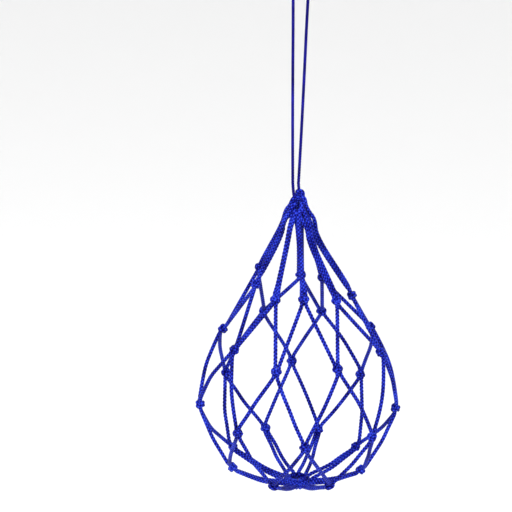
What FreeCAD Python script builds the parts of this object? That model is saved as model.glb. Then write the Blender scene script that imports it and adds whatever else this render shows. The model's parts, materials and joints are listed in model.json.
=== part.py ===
import FreeCAD, Part
import math
import os

# Mesh ball bag: a knotted cord net hung from its drawstring, loaded with a ball that is not part of it.
# Millimetres, +Z up, origin where the hook touches the underside of the carry loop.
# Azimuth 0 is the front (-Y) and grows towards +X.

os.makedirs("parts", exist_ok=True)
doc = FreeCAD.newDocument("mesh_ball_bag")
V = FreeCAD.Vector

SIZES = {
    "cord_diameter": 4.2,
    "string_diameter": 3.2,
    "ball_diameter": 220.0,
    "drop_to_ball": 495.0,
    "strand_spread_top": 17.0,
    "strand_spread_low": 7.0,
    "shank_length": 18.0,
    "joint_gap": 4.0,
    "gather_height": 232.0,
    "run_radius": 8.0,
    "run_tilt": 62.0,
    "run_exit_azimuth": 208.0,
    "run_exit_half_angle": 13.0,
    "run_tail_height": 26.0,
    "run_tail_gap": 1.6,
    "strand_foot_gap": 1.0,
    "bight_radius": 3.9,
    "knot_half_width": 5.9,
    "knot_half_depth": 4.9,
    "knot_half_height": 6.8,
    "leg_offset": 2.2,
    "base_ring_radius": 13.0,
    "hitch_radius": 4.2,
    "hitch_sweep": 36.0,
    "hitch_clearance": 0.6,
}

# Where the knots are tied, one entry for each of the eight meshes round the bag, from the back left by
# way of the front to the back. The crown's hang above the ball, as (azimuth, radius, height) from its
# centre, and the other rows lie on it, as (azimuth, latitude).
CROWN = ((-122, 54, 145), (-78, 50, 139), (-29, 54, 136), (6, 54, 139),
         (51, 55, 129), (93, 61, 122), (150, 55, 127), (178, 54, 127))
SHOULDER = ((-107, 37), (-56, 41), (-15, 35), (28, 35), (77, 33), (114, 37), (163, 36), (207, 38))
WAIST = ((-131, -4), (-80, -3), (-36, -4), (4, -8), (48, -10), (88, -8), (139, -6), (184, -4))
BASE = ((-108, -45), (-62, -42), (-20, -46), (28, -47), (65, -45), (117, -47), (162, -46), (208, -44))

sheet = doc.addObject("Spreadsheet::Sheet", "sizes")
for row, (alias, value) in enumerate(SIZES.items(), start=1):
    sheet.set(f"A{row}", alias)
    sheet.set(f"B{row}", str(value))
    sheet.setAlias(f"B{row}", alias)
doc.recompute()


def size(alias):
    return float(sheet.get(alias))


def bind(obj, **cells):
    """Ties an object's sizes to the sheet."""
    for name, cell in cells.items():
        obj.setExpression(name, cell)


def around(azimuth, radius, height):
    """A point given by its azimuth in degrees, its distance from the axis and its height."""
    turn = math.radians(azimuth)
    return V(radius * math.sin(turn), -radius * math.cos(turn), height)


def tangent(azimuth):
    turn = math.radians(azimuth)
    return V(math.cos(turn), math.sin(turn), 0)


def facing(x_axis, y_axis, z_axis, place):
    return FreeCAD.Placement(place, FreeCAD.Rotation(x_axis, y_axis, z_axis, "ZXY"))


def straight(name, start, end, diameter_cell):
    """A straight length of cord."""
    piece = doc.addObject("Part::Cylinder", name)
    bind(piece, Radius=f"sizes.{diameter_cell} / 2")
    run = end - start
    piece.Height = run.Length
    piece.Placement = FreeCAD.Placement(start, FreeCAD.Rotation(V(0, 0, 1), run))
    return piece


def arc(name, centre, start_way, end_way, radius_cell, diameter_cell, sweep=None):
    """A cord bent round a centre, from one direction to another, or through a sweep in degrees."""
    normal = start_way.cross(end_way)
    normal.normalize()
    x_axis = V(start_way)
    x_axis.normalize()
    piece = doc.addObject("Part::Torus", name)
    bind(piece, Radius1=radius_cell, Radius2=f"sizes.{diameter_cell} / 2")
    piece.Angle1 = -180
    piece.Angle2 = 180
    piece.Angle3 = sweep if sweep else math.degrees(start_way.getAngle(end_way))
    piece.Placement = facing(x_axis, normal.cross(x_axis), normal, centre)
    return piece


def group(name, pieces):
    """One node of several separate solids."""
    compound = doc.addObject("Part::Compound", name)
    compound.Links = pieces
    compound.Label = name
    return compound


BALL = V(0, 0, -size("drop_to_ball"))
NET_RADIUS = size("ball_diameter") / 2 + size("cord_diameter") / 2
NET_RADIUS_CELLS = "(sizes.ball_diameter + sizes.cord_diameter) / 2"
KNOT_LIFT = size("knot_half_depth") - size("cord_diameter") / 2
GATHER = BALL + V(0, 0, size("gather_height"))


def on_net(azimuth, latitude, lift=0.0):
    """The direction-and-distance from the ball's centre to a place on the net."""
    rise = math.radians(latitude)
    reach = NET_RADIUS + lift
    return around(azimuth, reach * math.cos(rise), reach * math.sin(rise))


# ---- knots: two cords tied together, each an ellipsoid that stands on the ball or hangs above it

def knot(name, azimuth, place, upward, half_sizes):
    width, depth, height = half_sizes
    piece = doc.addObject("Part::Ellipsoid", name)
    bind(piece, Radius1=f"sizes.{height}", Radius2=f"sizes.{width}", Radius3=f"sizes.{depth}")
    side = tangent(azimuth)
    piece.Placement = facing(side, upward.cross(side), upward, BALL + place)
    return piece


def meridian(azimuth, latitude):
    """Up along the ball's surface at a place."""
    rise = math.radians(latitude)
    return around(azimuth, -math.sin(rise), math.cos(rise))


KNOT_SIZES = ("knot_half_width", "knot_half_depth", "knot_half_height")


def crown_lean(azimuth):
    """Up along the pulled-in loops, which lean inwards to the gather."""
    return around(azimuth, -0.4, 0.92)


crown_knots = []
for number, (azimuth, radius, height) in enumerate(CROWN, start=1):
    place = around(azimuth, radius, height)
    crown_knots.append(knot(f"crown_knot_{number}", azimuth, place, crown_lean(azimuth), KNOT_SIZES))


def sphere_row(name, places):
    """Eight knots that stand on the ball."""
    row = []
    for number, (azimuth, latitude) in enumerate(places, start=1):
        place = on_net(azimuth, latitude, KNOT_LIFT)
        row.append(knot(f"{name}_{number}", azimuth, place, meridian(azimuth, latitude), KNOT_SIZES))
    return row


shoulder_knots = sphere_row("shoulder_knot", SHOULDER)
waist_knots = sphere_row("waist_knot", WAIST)
low_knots = sphere_row("base_knot", BASE)

# ---- base: a small ring of cord that the last bights are hitched to

BASE_LATITUDE = -math.degrees(math.acos(size("base_ring_radius") / NET_RADIUS))
HITCH_AZIMUTHS = (-130, -85, -40, 5, 50, 95, 140, 185)
HITCH_REACH = math.degrees((size("hitch_radius") + size("hitch_clearance")) / NET_RADIUS)
LEG_ENDS = tuple((azimuth, BASE_LATITUDE + HITCH_REACH) for azimuth in HITCH_AZIMUTHS)
RING_CENTRE = BALL + V(0, 0, on_net(0, BASE_LATITUDE).z)

base_ring = doc.addObject("Part::Torus", "base_ring")
base_ring.Label = "base_ring"
bind(base_ring, Radius1="sizes.base_ring_radius", Radius2="sizes.cord_diameter / 2")
base_ring.Placement = FreeCAD.Placement(RING_CENTRE, FreeCAD.Rotation())

hitches = []
for number, azimuth in enumerate(HITCH_AZIMUTHS, start=1):
    wrap = doc.addObject("Part::Torus", f"hitch_{number}")
    bind(wrap, Radius1="sizes.base_ring_radius", Radius2="sizes.hitch_radius", Angle3="sizes.hitch_sweep")
    wrap.Angle1 = -180
    wrap.Angle2 = 180
    start_turn = azimuth - 90 - size("hitch_sweep") / 2
    wrap.Placement = FreeCAD.Placement(RING_CENTRE, FreeCAD.Rotation(V(0, 0, 1), start_turn))
    hitches.append(wrap)

crown_row = group("crown_knots", crown_knots)
shoulder_row = group("shoulder_knots", shoulder_knots)
waist_row = group("waist_knots", waist_knots)
base_row = group("base_knots", low_knots)
hitch_row = group("hitches_before_trim", hitches)
all_knots = group("all_knots", [crown_row, shoulder_row, waist_row, base_row])


def without_knots(name, piece):
    """A cord node trimmed where it enters its knots, so that the two meet face to face."""
    cut = doc.addObject("Part::Cut", name)
    cut.Base = piece
    cut.Tool = all_knots
    cut.Label = name
    return cut


base_hitches = doc.addObject("Part::Cut", "base_hitches")
base_hitches.Base = hitch_row
base_hitches.Tool = base_ring
base_hitches.Label = "base_hitches"

# ---- mouth run: the drawstring's tight turn through the eight loops, low at the front, open at the back

RUN_TILT = math.radians(size("run_tilt"))
RUN_HIGH = around(size("run_exit_azimuth"), math.cos(RUN_TILT), math.sin(RUN_TILT))
RUN_SIDE = tangent(size("run_exit_azimuth"))


def run_way(azimuth):
    """The direction from the run's centre to the place that faces an azimuth."""
    turn = math.radians(azimuth - size("run_exit_azimuth"))
    return RUN_HIGH * math.cos(turn) + RUN_SIDE * math.sin(turn)


def run_along(azimuth):
    turn = math.radians(azimuth - size("run_exit_azimuth"))
    return RUN_SIDE * math.cos(turn) - RUN_HIGH * math.sin(turn)


exit_half = size("run_exit_half_angle")
first_azimuth = size("run_exit_azimuth") + exit_half
last_azimuth = size("run_exit_azimuth") - exit_half
run_turn = arc("run_turn", GATHER, run_way(first_azimuth), run_along(first_azimuth),
               "sizes.run_radius", "string_diameter", 360 - 2 * exit_half)
run_pieces = [run_turn]
tail_top = GATHER + V(0, 0, size("run_tail_height"))
for label, azimuth, side in (("left", first_azimuth, -1), ("right", last_azimuth, 1)):
    end = GATHER + run_way(azimuth) * size("run_radius")
    top = tail_top + V(side * size("strand_spread_low") / 2, 0, 0)
    start = end + V(0, 0, size("run_tail_gap"))
    run_pieces.append(straight(f"run_tail_{label}", start, top, "string_diameter"))
mouth_run = group("mouth_run", run_pieces)

# ---- top loops: each net cord folded over the mouth run, its two sides coming down to a crown knot


def top_loop(number):
    azimuth, radius, height = CROWN[number - 1]
    centre = GATHER + run_way(azimuth) * size("run_radius")
    knot_centre = BALL + around(azimuth, radius, height)
    down = knot_centre - centre
    down.normalize()
    along = run_along(azimuth)
    down = down - along * down.dot(along)
    down.normalize()
    out = along.cross(down)
    out.normalize()
    bend = arc(f"bight_{number}", centre, out, down * -1, "sizes.bight_radius", "cord_diameter", 180)
    sides = []
    for label, sign in (("a", -1), ("b", 1)):
        start = centre + out * sign * size("bight_radius")
        end = knot_centre + tangent(azimuth) * sign * size("leg_offset")
        sides.append(straight(f"side_{number}{label}", start, end, "cord_diameter"))
    loop = group(f"loop_{number}", [bend] + sides)
    return without_knots(f"top_loop_{number}", loop)


top_loops = [top_loop(number) for number in range(1, 9)]

# ---- legs: below a loop the same cord's two ends go down the ball, from knot to knot


def shifted(azimuth, latitude, side):
    """A cord's centre where it enters a knot, beside the knot's middle."""
    return on_net(azimuth, latitude) + tangent(azimuth) * side * size("leg_offset")


def leg(number, side, label):
    """A leg zigzags between its own column of meshes and the next one on its side."""
    own = number - 1
    beside = own if side > 0 else (own - 1) % 8
    azimuth, radius, height = CROWN[own]
    pieces = []
    start = BALL + around(azimuth, radius, height) + tangent(azimuth) * side * size("leg_offset")
    end = BALL + shifted(*SHOULDER[beside], -side)
    pieces.append(straight(f"{label}_{number}_slope", start, end, "cord_diameter"))
    stops = (SHOULDER[beside], WAIST[own], BASE[beside], LEG_ENDS[own])
    sides = (side, -side, side)
    for step, turn in enumerate(sides):
        start_way = shifted(*stops[step], -turn)
        end_way = shifted(*stops[step + 1], turn)
        name = f"{label}_{number}_arc_{step + 1}"
        pieces.append(arc(name, BALL, start_way, end_way, NET_RADIUS_CELLS, "cord_diameter"))
    raw = group(f"{label}_raw_{number}", pieces)
    return without_knots(f"{label}_{number}", raw)


left_legs = [leg(number, -1, "left_leg") for number in range(1, 9)]
right_legs = [leg(number, 1, "right_leg") for number in range(1, 9)]

# ---- carry loop: the rest of the drawstring, over the hook and down to the gather

spread_top = size("strand_spread_top") / 2
loop_centre = V(0, 0, size("string_diameter") / 2 - spread_top)
carry_bight = arc("carry_bight", loop_centre, V(1, 0, 0), V(0, 0, 1),
                  "sizes.strand_spread_top / 2", "string_diameter", 180)
carry_bight.Label = "carry_bight"


def carry_side(label, side):
    """One side of the carry loop: a short shank below the bight and the long strand below that."""
    gap = V(0, 0, -size("joint_gap"))
    top = loop_centre + V(side * spread_top, 0, 0)
    foot = tail_top + V(side * size("strand_spread_low") / 2, 0, size("strand_foot_gap"))
    way = foot - top
    way.normalize()
    shank_top = top + gap
    shank_end = shank_top + way * size("shank_length")
    shank = straight(f"carry_shank_{label}", shank_top, shank_end, "string_diameter")
    strand = straight(f"carry_strand_{label}", shank_end + gap, foot, "string_diameter")
    for piece in (shank, strand):
        piece.Label = piece.Name
    return [shank, strand]


carry_parts = [carry_bight] + carry_side("left", -1) + carry_side("right", 1)

# ---- check everything, then write one file for each sub-part


def cord_length(piece):
    """The length of a straight or bent piece of cord along its middle."""
    if piece.TypeId == "Part::Torus":
        return math.radians(piece.Angle3.Value) * piece.Radius1.Value
    return piece.Height.Value


def check_cord(piece):
    """Compares a piece of drawstring's volume with its section times its length."""
    section = math.pi * (size("string_diameter") / 2) ** 2
    wanted = section * cord_length(piece)
    if abs(piece.Shape.Volume - wanted) > 0.01 * wanted:
        raise RuntimeError(f"{piece.Label} holds {piece.Shape.Volume:.1f} and not {wanted:.1f} mm3")
    bend = f"radius {piece.Radius1.Value:.1f}" if piece.TypeId == "Part::Torus" else "straight"
    print(piece.Label, bend, "length", round(cord_length(piece), 1), "volume", round(wanted, 1))


doc.recompute()
nodes = [crown_row, shoulder_row, waist_row, base_row, base_hitches, base_ring, mouth_run]
nodes += top_loops + left_legs + right_legs + carry_parts
for obj in doc.Objects:
    if "Invalid" in obj.State or "Error" in obj.State:
        raise RuntimeError(f"{obj.Label} failed to recompute")
for node in nodes:
    if node.Shape.isNull() or not node.Shape.isValid():
        raise RuntimeError(f"{node.Label} has no valid shape")
for piece in run_pieces + carry_parts:
    check_cord(piece)

total = 0.0
for node in nodes:
    node.Shape.exportStep(f"parts/{node.Label}.step")
    total += node.Shape.Volume
    print(node.Label, "solids", len(node.Shape.Solids), "volume", round(node.Shape.Volume, 1))
print("nodes", len(nodes), "volume in cm3", round(total / 1000, 1))
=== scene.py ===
import json
import math
import random

import bpy
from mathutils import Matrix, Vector


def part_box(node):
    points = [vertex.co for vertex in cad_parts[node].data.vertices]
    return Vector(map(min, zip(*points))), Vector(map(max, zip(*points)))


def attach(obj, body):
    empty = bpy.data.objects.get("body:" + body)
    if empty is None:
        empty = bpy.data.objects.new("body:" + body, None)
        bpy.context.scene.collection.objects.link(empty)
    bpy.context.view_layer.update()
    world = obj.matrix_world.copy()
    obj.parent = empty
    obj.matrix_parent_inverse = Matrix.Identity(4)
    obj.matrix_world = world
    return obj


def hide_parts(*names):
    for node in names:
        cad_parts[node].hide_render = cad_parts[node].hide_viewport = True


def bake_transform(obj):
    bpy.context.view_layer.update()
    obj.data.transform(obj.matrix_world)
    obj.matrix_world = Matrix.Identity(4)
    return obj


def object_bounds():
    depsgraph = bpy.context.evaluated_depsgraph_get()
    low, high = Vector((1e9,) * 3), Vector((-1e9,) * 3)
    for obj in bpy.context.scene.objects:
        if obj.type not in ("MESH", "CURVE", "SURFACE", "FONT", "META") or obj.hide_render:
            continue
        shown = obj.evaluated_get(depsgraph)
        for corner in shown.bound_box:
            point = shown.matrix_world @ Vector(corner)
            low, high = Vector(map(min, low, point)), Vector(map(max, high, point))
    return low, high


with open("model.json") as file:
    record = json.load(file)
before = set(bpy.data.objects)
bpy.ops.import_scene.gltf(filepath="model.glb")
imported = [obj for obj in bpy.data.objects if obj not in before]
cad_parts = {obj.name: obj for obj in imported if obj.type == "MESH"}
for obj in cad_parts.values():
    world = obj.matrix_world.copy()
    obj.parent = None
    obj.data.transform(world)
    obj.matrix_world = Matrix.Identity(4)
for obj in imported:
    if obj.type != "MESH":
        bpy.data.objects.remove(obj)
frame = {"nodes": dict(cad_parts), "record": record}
cad_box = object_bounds()
random.seed(7)

# ---- driving values, in metres

CORD = 0.0042
STRING = 0.0032
NET_RADIUS = 0.1121
BALL_BOX = frame["record"]["physics"]["openings"][0]["box_m"]
BALL = (Vector(BALL_BOX[0]) + Vector(BALL_BOX[1])) / 2
GATHER = BALL + Vector((0, 0, 0.232))
STRAND_FOOT = {-1: GATHER + Vector((-0.0076, 0, 0.026)), 1: GATHER + Vector((-0.0012, 0, 0.026))}
RING_RADIUS = 0.013
COLUMNS = 8

# How far the hand-tied net strays sideways, and how far apart two points of one CAD knot can be.
UNEVENNESS = 0.0009
KNOT_REACH = 0.016

# The mesh of a cord: the distance between its rings of points, and the points in a ring.
RING_STEP = 0.0008
SIDES = 18

# A braid's mean thickness and the rise and fall of its crests, as shares of the cord's own.
BRAID_MEAN = 1.06
BRAID_SWING = 0.11

# A knot, in cord diameters: where a cord enters and leaves it, beside its middle and above or below;
# how far out its turn starts, and how much further it swells; how far above and below the middle the
# turn starts and ends, and how deep it dips between.
KNOT_BESIDE = 0.52
KNOT_HALF_HEIGHT = 1.75
KNOT_REST = 0.5
KNOT_SWELL = 0.55
KNOT_FALL = 1.3
KNOT_DIP = 1.12

# How deep the turn is from front to back for its width, and the steps it is drawn in.
KNOT_DEPTH = 0.82
KNOT_STEPS = 10

# A crown knot's axis: how far it leans in for how far it rises.
CROWN_LEAN = 0.4
CROWN_RISE = 0.92

# A fold over the drawstring: how far below it its sides begin to draw together, and how far above
# the crown knot's middle, in cord diameters, its last points are.
FOLD_DROP = 0.008
FOLD_END = 4

# The carry loop: its radius over the hook, heights on it measured from where it bears on the hook,
# and how far its strands bow.
LOOP_RADIUS = 0.0085
LOOP_SHOULDER = -0.009
SHANK_TOP = -0.021
SHANK_MIDDLE = -0.04
STRAND_TOP = -0.062
STRAND_MIDDLE = -0.16
STRAND_BOW = 0.0006

# The heights between which each part of the carry loop would bend at a joint; they are passed with each
# piece, and no bend is set up from them.
LOOP_BEND = (-0.004, -0.016)
SHANK_BEND = (-0.022, -0.044)
STRAND_BEND_TOP = -0.066
STRAND_BEND_ABOVE_FOOT = 0.004

# The stage: how far its floor is below the bag, the floor's flat radius, the radius it curves up by,
# the height of the wall above, and the steps of the curve and of a turn round it.
FLOOR_DROP = 0.25
FLOOR_RADIUS = 4.0
WALL_CURVE = 2.5
WALL_HEIGHT = 2.0
WALL_STEPS = 12
WALL_TURNS = 72


def around(azimuth, radius, height):
    """A point given by its azimuth in degrees from the front, its distance from the axis and its height."""
    turn = math.radians(azimuth)
    return Vector((radius * math.sin(turn), -radius * math.cos(turn), height))


def tangent(azimuth):
    """The direction of growing azimuth."""
    turn = math.radians(azimuth)
    return Vector((math.cos(turn), math.sin(turn), 0))


def azimuth_of(point):
    return math.degrees(math.atan2(point.x, -point.y))


def linked(name, data):
    """A new object with this data, in the scene."""
    thing = bpy.data.objects.new(name, data)
    bpy.context.scene.collection.objects.link(thing)
    return thing


def turn_towards(thing, target):
    """Point a camera or lamp at a place."""
    thing.rotation_mode = "QUATERNION"
    thing.rotation_quaternion = (target - thing.location).to_track_quat("-Z", "Y")


# ---- camera first: a long lens a little above the ball, as the bag is seen

def look_from(elevation, distance, view_width, aim_right, aim_up):
    rise = math.radians(elevation)
    back = Vector((0, -math.cos(rise), math.sin(rise)))
    upward = Vector((0, math.sin(rise), math.cos(rise)))
    target = BALL + Vector((aim_right, 0, 0)) + upward * aim_up
    camera = linked("camera", bpy.data.cameras.new("camera"))
    camera.location = BALL + back * distance
    turn_towards(camera, target)
    camera.data.sensor_width = 36
    camera.data.lens = 36 * (target - camera.location).length / view_width
    bpy.context.scene.camera = camera


look_from(elevation=24, distance=2.5, view_width=0.599, aim_right=-0.0503, aim_up=0.1597)


# ---- cords: a smooth spline through given points, and a braided tube along it

def spline_points(points, cyclic=False):
    """Points along the NURBS spline that has these points as its control points."""
    data = bpy.data.curves.new("route", "CURVE")
    data.dimensions = "3D"
    data.resolution_u = 12
    spline = data.splines.new("NURBS")
    spline.points.add(len(points) - 1)
    for place, point in zip(spline.points, points):
        place.co = (*point, 1)
    spline.use_cyclic_u = cyclic
    spline.use_endpoint_u = not cyclic
    spline.order_u = 3
    holder = linked("route", data)
    bpy.context.view_layer.update()
    mesh = bpy.data.meshes.new_from_object(holder)
    line = [v.co.copy() for v in mesh.vertices]
    bpy.data.objects.remove(holder)
    bpy.data.curves.remove(data)
    bpy.data.meshes.remove(mesh)
    return line


def evenly(line, step, closed):
    """The same line with its points about a step apart, and the exact step."""
    if closed:
        line = line + [line[0]]
    reach = [0.0]
    for a, b in zip(line, line[1:]):
        reach.append(reach[-1] + (b - a).length)
    count = max(2, round(reach[-1] / step))
    places = []
    index = 0
    for number in range(count + (0 if closed else 1)):
        want = reach[-1] * number / count
        while index < len(line) - 2 and reach[index + 1] < want:
            index += 1
        span = max(reach[index + 1] - reach[index], 1e-12)
        places.append(line[index].lerp(line[index + 1], (want - reach[index]) / span))
    return places, reach[-1] / count


def cross_axes(places, closed):
    """Two directions across the cord at each place, turning as little as they can along it."""
    count = len(places)
    axes = []
    normal = None
    for index, place in enumerate(places):
        before = places[index - 1] if index or closed else place
        after = places[(index + 1) % count] if index < count - 1 or closed else place
        way = (after - before).normalized()
        if normal is None:
            normal = way.orthogonal().normalized()
        normal = (normal - way * normal.dot(way)).normalized()
        axes.append((normal, way.cross(normal)))
    return axes


def tube_faces(count, closed):
    """Faces between neighbouring rings, and a cap at each end of a cord that has ends."""
    faces = []
    for index in range(count if closed else count - 1):
        row = index * SIDES
        following = (index + 1) % count * SIDES
        for side in range(SIDES):
            beside = (side + 1) % SIDES
            faces.append((row + side, row + beside, following + beside, following + side))
    if not closed:
        faces.append(tuple(range(SIDES - 1, -1, -1)))
        faces.append(tuple(range((count - 1) * SIDES, count * SIDES)))
    return faces


def braid_height(along, turn, diameter):
    """Crests of a round braid, in staggered rows, from -1 to 1."""
    return math.cos(2 * math.pi * along / diameter) * math.cos(3 * turn)


def braided_tube(name, line, diameter, material, closed=False):
    """A braided cord along a line, with real crests, closed at its ends unless it is a ring."""
    places, step = evenly(line, RING_STEP, closed)
    verts = []
    heights = []
    for index, (normal, cross) in enumerate(cross_axes(places, closed)):
        for side in range(SIDES):
            turn = 2 * math.pi * side / SIDES
            height = braid_height(index * step, turn, diameter)
            radius = diameter / 2 * (BRAID_MEAN + BRAID_SWING * height)
            verts.append(places[index] + (normal * math.cos(turn) + cross * math.sin(turn)) * radius)
            heights.append(height)
    mesh = bpy.data.meshes.new(name)
    mesh.from_pydata(verts, [], tube_faces(len(places), closed))
    mesh.attributes.new("braid", "FLOAT", "POINT").data.foreach_set("value", heights)
    mesh.shade_smooth()
    mesh.materials.append(material)
    return linked(name, mesh), places


# ---- materials

def new_material(name, roughness):
    """A material with this roughness, and its shader."""
    material = bpy.data.materials.new(name)
    material.use_nodes = True
    shader = material.node_tree.nodes["Principled BSDF"]
    shader.inputs["Roughness"].default_value = roughness
    return material, shader


def noise(tree, scale, detail):
    """Noise fixed to the piece it is on."""
    coordinates = tree.nodes.new("ShaderNodeTexCoord")
    texture = tree.nodes.new("ShaderNodeTexNoise")
    texture.inputs["Scale"].default_value = scale
    texture.inputs["Detail"].default_value = detail
    tree.links.new(coordinates.outputs["Object"], texture.inputs["Vector"])
    return texture.outputs["Fac"]


def braid_colour_with_painted_light(tree, valley_painted_shade, middle, crest_painted_highlight):
    """Painted shade between the braid's crests and painted highlights on them, over the cord's own middle
    colour, with slow drifts of dye.
    """
    braid = tree.nodes.new("ShaderNodeAttribute")
    braid.attribute_name = "braid"
    lift = tree.nodes.new("ShaderNodeMath")
    lift.operation = "MULTIPLY_ADD"
    lift.inputs[1].default_value = 0.5
    tree.links.new(braid.outputs["Fac"], lift.inputs[0])
    tree.links.new(noise(tree, scale=60, detail=2), lift.inputs[2])
    # The ramp paints shade into the braid's valleys and highlights onto its crests.
    ramp = tree.nodes.new("ShaderNodeValToRGB")
    ramp.color_ramp.elements[0].position = 0.15
    ramp.color_ramp.elements[0].color = (*valley_painted_shade, 1)
    ramp.color_ramp.elements[1].position = 0.85
    ramp.color_ramp.elements[1].color = (*crest_painted_highlight, 1)
    ramp.color_ramp.elements.new(0.5).color = (*middle, 1)
    tree.links.new(lift.outputs[0], ramp.inputs[0])
    return ramp.outputs[0]


def cord_material(name, valley_painted_shade, middle, crest_painted_highlight, roughness):
    """Braided synthetic cord, with a faint sheen and fine fibres, and painted shade between its braid's
    crests and painted highlights on them.
    """
    material, shader = new_material(name, roughness)
    tree = material.node_tree
    shader.inputs["Sheen Weight"].default_value = 0.05
    shader.inputs["Sheen Roughness"].default_value = 0.4
    shader.inputs["Sheen Tint"].default_value = (0.15, 0.2, 1, 1)
    shader.inputs["Specular IOR Level"].default_value = 0.1
    shader.inputs["Specular Tint"].default_value = (0.35, 0.45, 1, 1)
    tree.links.new(braid_colour_with_painted_light(tree, valley_painted_shade, middle, crest_painted_highlight), shader.inputs["Base Color"])
    bump = tree.nodes.new("ShaderNodeBump")
    bump.inputs["Strength"].default_value = 0.35
    bump.inputs["Distance"].default_value = 0.0002
    tree.links.new(noise(tree, scale=2600, detail=3), bump.inputs["Height"])
    tree.links.new(bump.outputs[0], shader.inputs["Normal"])
    return material


# In each cord material the valley colour is painted shade and the crest colour a painted highlight; the
# middle colour is the cord's own blue.
net_blue = cord_material(
    "net_blue", valley_painted_shade=(0.001, 0.0005, 0.035), middle=(0.004, 0.004, 0.24), crest_painted_highlight=(0.03, 0.06, 0.62),
    roughness=0.5)
string_blue = cord_material(
    "string_blue", valley_painted_shade=(0.0015, 0.0005, 0.04), middle=(0.006, 0.003, 0.13), crest_painted_highlight=(0.016, 0.014, 0.34),
    roughness=0.42)


# ---- the net's places, read from the frame

def heaps_of(vertices):
    """The places of these vertices in heaps, one for each knot."""
    heaps = []
    for vertex in vertices:
        for heap in heaps:
            if (heap[0] - vertex.co).length < KNOT_REACH:
                heap.append(vertex.co.copy())
                break
        else:
            heaps.append([vertex.co.copy()])
    return heaps


def middle_of(heap):
    """The middle of the box round these places."""
    low = Vector([min(place[i] for place in heap) for i in range(3)])
    high = Vector([max(place[i] for place in heap) for i in range(3)])
    return (low + high) / 2


def knot_places(node, first_azimuth):
    """The centres of a row's knots, in order round the bag from an azimuth."""
    centres = [middle_of(heap) for heap in heaps_of(frame["nodes"][node].data.vertices)]
    if len(centres) != COLUMNS:
        raise SystemExit(f"{node} shows {len(centres)} knots")
    return sorted(centres, key=lambda place: (azimuth_of(place - BALL) - first_azimuth) % 360)


crown = knot_places("crown_knots", -150)
shoulder = knot_places("shoulder_knots", -130)
waist = knot_places("waist_knots", -150)
base = knot_places("base_knots", -130)
ring_height = (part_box("base_ring")[0].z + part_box("base_ring")[1].z) / 2
ring_centre = Vector((BALL.x, BALL.y, ring_height))
HITCH_AZIMUTHS = (-130, -85, -40, 5, 50, 95, 140, 185)

# How the eight folds lie in the drawn-up mouth, cord by cord: each fold's middle from the gather's,
# the angle its two sides are turned by, how far its left and right sides bow outwards just below it,
# and how far both bow outwards midway down.
GATHERED = ((-0.0052, 0.0034, 0.0045), (-0.0064, 0.0010, -0.0030), (-0.0064, -0.0040, -0.0100),
            (-0.0024, -0.0066, -0.0130), (0.0028, -0.0050, -0.0085), (0.0050, 0.0000, -0.0020),
            (0.0034, 0.0030, 0.0055), (0.0006, 0.0036, 0.0125))
FOLD = (60, 35, 50, 15, 55, 40, 85, 75)
BOWS = ((0.005, 0.003, -0.0015), (0.006, 0.003, -0.0015), (0.002, 0.002, 0), (0.001, 0.001, 0),
        (0.002, 0.002, -0.005), (0.001, 0.003, -0.006), (0.003, 0.002, -0.003), (0.002, 0.003, 0))


# ---- one net cord: up one side, over the drawstring and down the other, through six knots

def knot_axes(centre, leaning):
    """Sideways, outwards and upwards at a knot."""
    azimuth = azimuth_of(centre - BALL)
    sideways = tangent(azimuth)
    if leaning:
        upward = around(azimuth, -CROWN_LEAN, CROWN_RISE).normalized()
    else:
        upward = (centre - BALL).normalized().cross(sideways)
    return sideways, sideways.cross(upward), upward


def knot_turn(centre, leaning, hand, side):
    """One strand's way down through an overhand knot: in at the top, once round, out at the bottom."""
    sideways, outward, upward = knot_axes(centre, leaning)
    beside = centre + sideways * side * KNOT_BESIDE * CORD
    points = [beside + upward * KNOT_HALF_HEIGHT * CORD]
    for number in range(KNOT_STEPS + 1):
        part = number / KNOT_STEPS
        turn = (0 if side > 0 else math.pi) + hand * 2 * math.pi * part
        reach = CORD * (KNOT_REST + KNOT_SWELL * math.sqrt(math.sin(math.pi * part)))
        rise = CORD * (KNOT_FALL * (1 - 2 * part) - KNOT_DIP * math.sin(2 * math.pi * part))
        points.append(centre + sideways * math.cos(turn) * reach
                      + outward * math.sin(turn) * reach * KNOT_DEPTH + upward * rise)
    points.append(beside - upward * KNOT_HALF_HEIGHT * CORD)
    return points


def over_ball(start, end):
    """Points of a cord drawn tight over the ball from one place to another, not quite evenly."""
    first = (start - BALL).normalized()
    last = (end - BALL).normalized()
    angle = first.angle(last)
    axis = first.cross(last).normalized()
    points = []
    for number in range(1, 4):
        part = number / 4
        # The points stand off the ball so that the spline between them lies on it.
        way = (first * math.sin((1 - part) * angle) + last * math.sin(part * angle)) / math.sin(angle)
        reach = NET_RADIUS / math.cos(angle / 8)
        points.append(BALL + way * reach + axis * random.uniform(-UNEVENNESS, UNEVENNESS))
    return points


def fold_axis(number, down):
    """The direction across a fold, from its left side to its right."""
    azimuth = azimuth_of(crown[number] - BALL)
    fold = math.radians(FOLD[number])
    across = around(azimuth, 1, 0) * math.cos(fold) + tangent(azimuth) * math.sin(fold)
    return (across - down * across.dot(down)).normalized()


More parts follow.
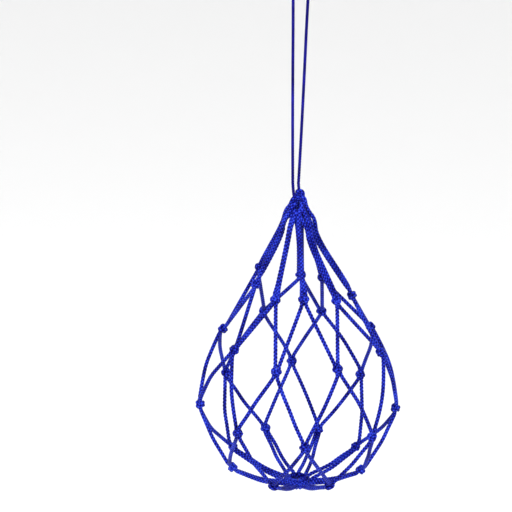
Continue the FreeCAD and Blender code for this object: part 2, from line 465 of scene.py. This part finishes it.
def bight(number):
    """The loop from above one side of its crown knot, over the drawstring, to above the other."""
    centre = GATHER + Vector(GATHERED[number])
    down = (crown[number] - centre).normalized()
    across = fold_axis(number, down)
    outward = around(azimuth_of(crown[number] - BALL), 1, 0)
    radius = (CORD + STRING) / 2
    end = (crown[number] - centre).length - FOLD_END * CORD
    left_bow, right_bow, middle_bow = BOWS[number]
    # Across in fold radii, down and outwards in metres, from the left side over to the right.
    shape = ((-0.55, end, 0), (-0.55, 0.4 * end, middle_bow),
             (-0.6, 0.2 * end, left_bow), (-0.75, FOLD_DROP, 0), (-1, 0, 0),
             (-0.8, -0.75 * radius, 0), (0, -1.2 * radius, 0), (0.8, -0.75 * radius, 0),
             (1, 0, 0), (0.75, FOLD_DROP, 0), (0.6, 0.18 * end, right_bow),
             (0.55, 0.4 * end, middle_bow), (0.55, end, 0))
    return [centre + across * reach * radius + down * drop + outward * bow for reach, drop, bow in shape]


def hitch_end(azimuth, side):
    """A side's last turn round the base ring, ending hidden inside it."""
    outward = around(azimuth, 1, 0)
    beside = tangent(azimuth) * side * (CORD / 2)
    reach = CORD * 1.1
    points = []
    for turn in (0, -60, -120, -180, -240):
        bend = math.radians(turn)
        place = outward * (RING_RADIUS + reach * math.cos(bend)) + Vector((0, 0, reach * math.sin(bend)))
        points.append(ring_centre + place + beside)
    return points


def net_side(number, side):
    """One side of a cord, down from its crown knot through a knot in each row to the base ring."""
    beside = number if side > 0 else number - 1
    rows = ((crown[number], number, side, True), (shoulder[beside], beside, -side, False),
            (waist[number], number, side, False), (base[beside], beside, -side, False))
    points = []
    for row, (centre, column, knot_side, leaning) in enumerate(rows):
        hand = 1 if (row + column) % 2 == 0 else -1
        turns = knot_turn(centre, leaning, hand, knot_side)
        if row > 1:
            points += over_ball(points[-1], turns[0])
        points += turns
    end = hitch_end(HITCH_AZIMUTHS[number], side)
    return points + over_ball(points[-1], end[0]) + end


def net_cord(number):
    """Cord 0 to 7: crown and waist knots tie its own two sides, the others tie it to its neighbours."""
    left = net_side(number, -1)
    right = net_side(number, 1)
    route = left[::-1] + bight(number) + right
    piece, _ = braided_tube(f"net_cord_{number + 1}", spline_points(route), CORD, net_blue)
    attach(piece, "net")
    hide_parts(f"top_loop_{number + 1}", f"left_leg_{number + 1}", f"right_leg_{number + 1}")
    return piece


net_cords = [net_cord(number) for number in range(COLUMNS)]
for row in ("crown_knots", "shoulder_knots", "waist_knots", "base_knots", "base_hitches"):
    for piece in net_cords:
        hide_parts(row)


# ---- base ring

def base_ring():
    corner_radius = RING_RADIUS / math.cos(math.radians(15))
    points = [ring_centre + around(azimuth, corner_radius, 0) for azimuth in range(0, 360, 30)]
    line = spline_points(points, cyclic=True)
    piece, _ = braided_tube("base_ring_cord", line, CORD, net_blue, closed=True)
    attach(piece, "net")
    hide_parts("base_ring")


base_ring()


# ---- drawstring: the mouth run, the two strands and the loop over the hook

def string_piece(name, points, node_name, body=None, bend=None):
    """A length of the drawstring that rides one body, or, when a bend is given, is left on no body with its
    place baked into its mesh.
    """
    piece, places = braided_tube(name, spline_points(points), STRING, string_blue)
    if bend:
        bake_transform(piece)
    else:
        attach(piece, body)
    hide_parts(node_name)


def mouth_run():
    """Through the eight folds, from the left strand's foot round to the right's."""
    way_in = [STRAND_FOOT[-1], GATHER + Vector((-0.0070, 0.0018, 0.0140))]
    way_out = [GATHER + Vector((-0.0010, 0.0022, 0.0190)), STRAND_FOOT[1]]
    points = way_in + [GATHER + Vector(place) for place in GATHERED] + way_out
    string_piece("mouth_run_cord", points, "mouth_run", body="net")


def on_strand(side, height):
    """The place at a height on the straight way from the loop's side to the strand's foot."""
    top = Vector((side * LOOP_RADIUS, 0, STRING / 2 - LOOP_RADIUS))
    foot = STRAND_FOOT[side]
    return top.lerp(foot, (height - top.z) / (foot.z - top.z))


def carry_loop():
    """Up one side, over the hook and down the other."""
    centre = Vector((0, 0, STRING / 2 - LOOP_RADIUS))
    corner = LOOP_RADIUS * math.tan(math.radians(22.5))
    over_hook = ((-LOOP_RADIUS, corner), (-corner, LOOP_RADIUS),
                 (corner, LOOP_RADIUS), (LOOP_RADIUS, corner))
    points = [on_strand(-1, SHANK_TOP), on_strand(-1, LOOP_SHOULDER)]
    points += [centre + Vector((across, 0, rise)) for across, rise in over_hook]
    points += [on_strand(1, LOOP_SHOULDER), on_strand(1, SHANK_TOP)]
    top, bottom = LOOP_BEND
    string_piece("carry_loop_cord", points, "carry_bight",
                 bend=("hook_end", "shanks", (0, 0, top), (0, 0, bottom)))


def carry_side(side, label):
    """One shank and the strand below it."""
    shank = [on_strand(side, height) for height in (SHANK_TOP, SHANK_MIDDLE, STRAND_TOP)]
    top, bottom = SHANK_BEND
    string_piece(f"carry_shank_cord_{label}", shank, f"carry_shank_{label}",
                 bend=("shanks", "strands", (0, 0, top), (0, 0, bottom)))
    foot = STRAND_FOOT[side]
    bow = Vector((side * STRAND_BOW, STRAND_BOW, 0))
    strand = [on_strand(side, STRAND_TOP), on_strand(side, STRAND_MIDDLE) + bow, foot]
    string_piece(f"carry_strand_cord_{label}", strand, f"carry_strand_{label}",
                 bend=("strands", "net", (0, 0, STRAND_BEND_TOP), (0, 0, foot.z + STRAND_BEND_ABOVE_FOOT)))


mouth_run()
carry_loop()
carry_side(-1, "left")
carry_side(1, "right")


# ---- stage: pale floor below the hanging bag, pale room and soft lamps

def wall_profile(level):
    """Radius and height of each ring of the floor, its curve and its wall."""
    profile = []
    for step in range(WALL_STEPS + 1):
        part = math.pi / 2 * step / WALL_STEPS
        radius = FLOOR_RADIUS + WALL_CURVE * math.sin(part)
        profile.append((radius, level + WALL_CURVE * (1 - math.cos(part))))
    profile.append((FLOOR_RADIUS + WALL_CURVE, level + WALL_CURVE + WALL_HEIGHT))
    return profile


def wall_faces(rings):
    """A disc round the middle, then a band of faces between neighbouring rings."""
    faces = [(0, 1 + turn, 1 + (turn + 1) % WALL_TURNS) for turn in range(WALL_TURNS)]
    for ring in range(rings - 1):
        row = 1 + ring * WALL_TURNS
        above = row + WALL_TURNS
        for turn in range(WALL_TURNS):
            beside = (turn + 1) % WALL_TURNS
            faces.append((row + turn, above + turn, above + beside, row + beside))
    return faces


def floor():
    """A floor that curves up into a round wall, open above, so that no horizon shows."""
    level = cad_box[0].z - FLOOR_DROP
    profile = wall_profile(level)
    verts = [(0, 0, level)]
    for radius, height in profile:
        for turn in range(WALL_TURNS):
            verts.append(tuple(around(360 * turn / WALL_TURNS, radius, height)))
    mesh = bpy.data.meshes.new("floor")
    mesh.from_pydata(verts, [], wall_faces(len(profile)))
    mesh.shade_smooth()
    material, shader = new_material("floor_pale", 0.9)
    shader.inputs["Base Color"].default_value = (0.9, 0.9, 0.9, 1)
    mesh.materials.append(material)
    linked("floor", mesh)


def room():
    """Even white light from all round."""
    world = bpy.data.worlds.new("room")
    world.use_nodes = True
    background = world.node_tree.nodes["Background"]
    background.inputs["Color"].default_value = (1, 1, 1, 1)
    background.inputs["Strength"].default_value = 1.0
    bpy.context.scene.world = world


def lamp(name, place, size, power):
    """A square lamp that lights the ball's place."""
    data = bpy.data.lights.new(name, "AREA")
    data.size = size
    data.energy = power
    light = linked(name, data)
    light.location = place
    turn_towards(light, BALL)


floor()
room()
lamp("key", (-1.2, -1.8, 1.2), 0.8, 45)
lamp("fill", (1.8, -1.0, 0.2), 1.4, 14)
bpy.context.scene.view_settings.view_transform = "Standard"
